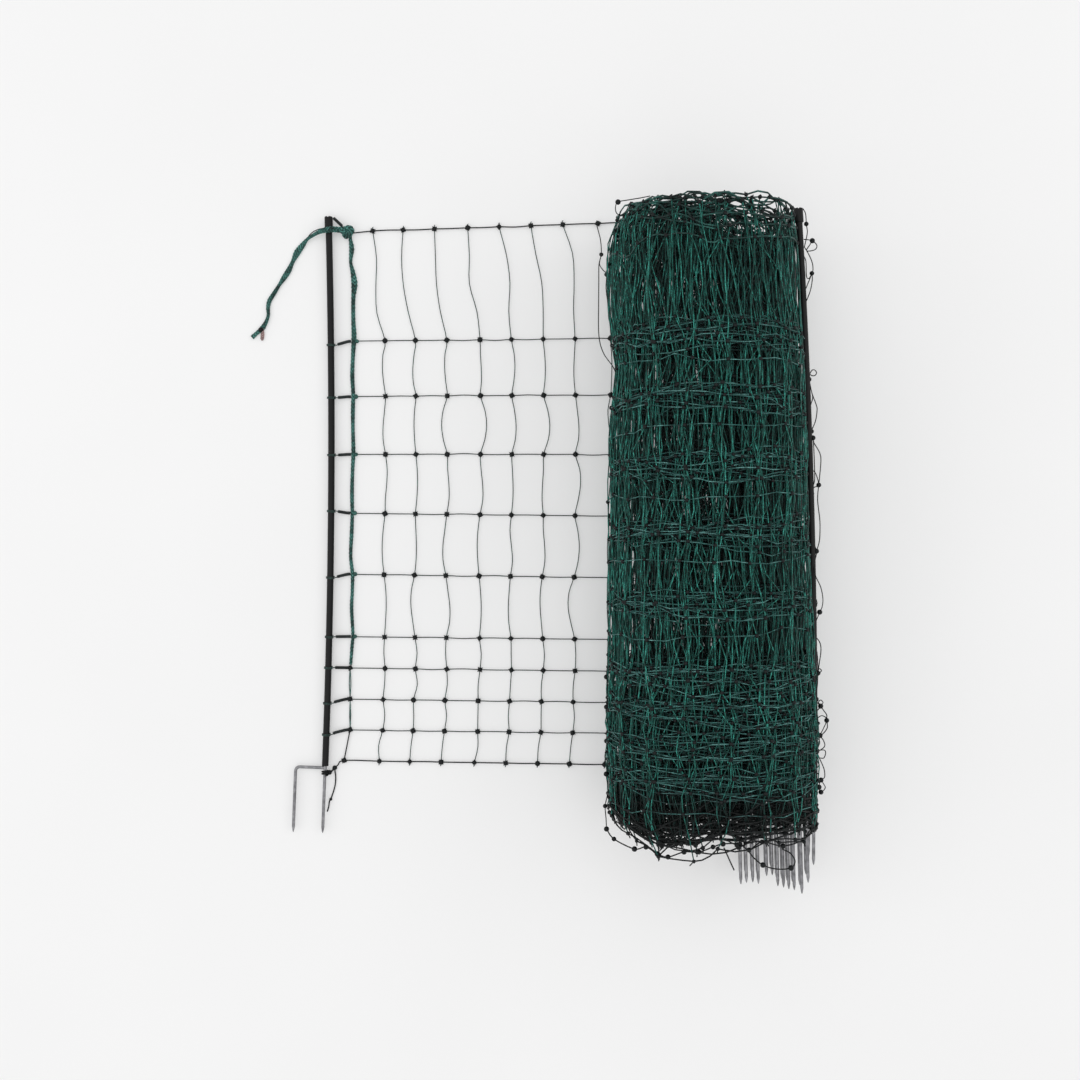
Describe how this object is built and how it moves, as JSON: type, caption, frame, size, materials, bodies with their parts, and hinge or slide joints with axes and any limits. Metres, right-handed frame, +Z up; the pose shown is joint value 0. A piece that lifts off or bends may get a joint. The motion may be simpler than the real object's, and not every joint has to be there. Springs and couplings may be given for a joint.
{
  "type": "roll of electric poultry netting",
  "caption": "Wound roll of open-mesh electric netting lying on the ground, its loose end spread flat with an end post, double spikes below and a tie at the top corner.",
  "frame": {"origin": "middle of the footprint, on the ground under the object", "axes": "+X from the end post to the roll, +Y along the roll and the posts from the spikes to the heads, +Z up"},
  "size_m": [1.1617, 1.39, 0.3619],
  "materials": {
    "net": "twisted plastic twine, satin",
    "post": "satin",
    "spike_steel": "dull galvanised",
    "line_black": "satin",
    "cord": "braided",
    "cord_core": "frayed"
  },
  "bodies": {
    "root": {"net_roll": "net", "loose_end": "net", "end_post": "post", "end_post_cap": "post", "end_spike": "spike_steel", "side_post": "post", "side_post_cap": "post", "side_spike": "spike_steel", "nested_post_01": "post", "nested_spike_01": "spike_steel", "nested_post_02": "post", "nested_spike_02": "spike_steel", "nested_post_03": "post", "nested_spike_03": "spike_steel", "nested_post_04": "post", "nested_spike_04": "spike_steel", "nested_post_05": "post", "nested_spike_05": "spike_steel", "nested_post_06": "post", "nested_spike_06": "spike_steel", "nested_post_07": "post", "nested_spike_07": "spike_steel", "nested_post_08": "post", "nested_spike_08": "spike_steel", "nested_post_09": "post", "nested_spike_09": "spike_steel", "nested_post_10": "post", "nested_spike_10": "spike_steel", "nested_post_11": "post", "nested_spike_11": "spike_steel", "nested_post_12": "post", "nested_spike_12": "spike_steel", "line_tie_2": "line_black", "line_tie_3": "line_black", "line_tie_4": "line_black", "line_tie_5": "line_black", "line_tie_6": "line_black", "line_tie_7": "line_black", "line_tie_8": "line_black", "line_tie_9": "line_black", "line_tie_10": "line_black", "head_sleeve": "line_black", "edge_cord": "cord", "tie_knot": "cord", "tie": "cord", "tie_strand": "cord_core", "foot_wrap": "line_black", "foot_tail": "line_black"}
  },
  "joints": []
}
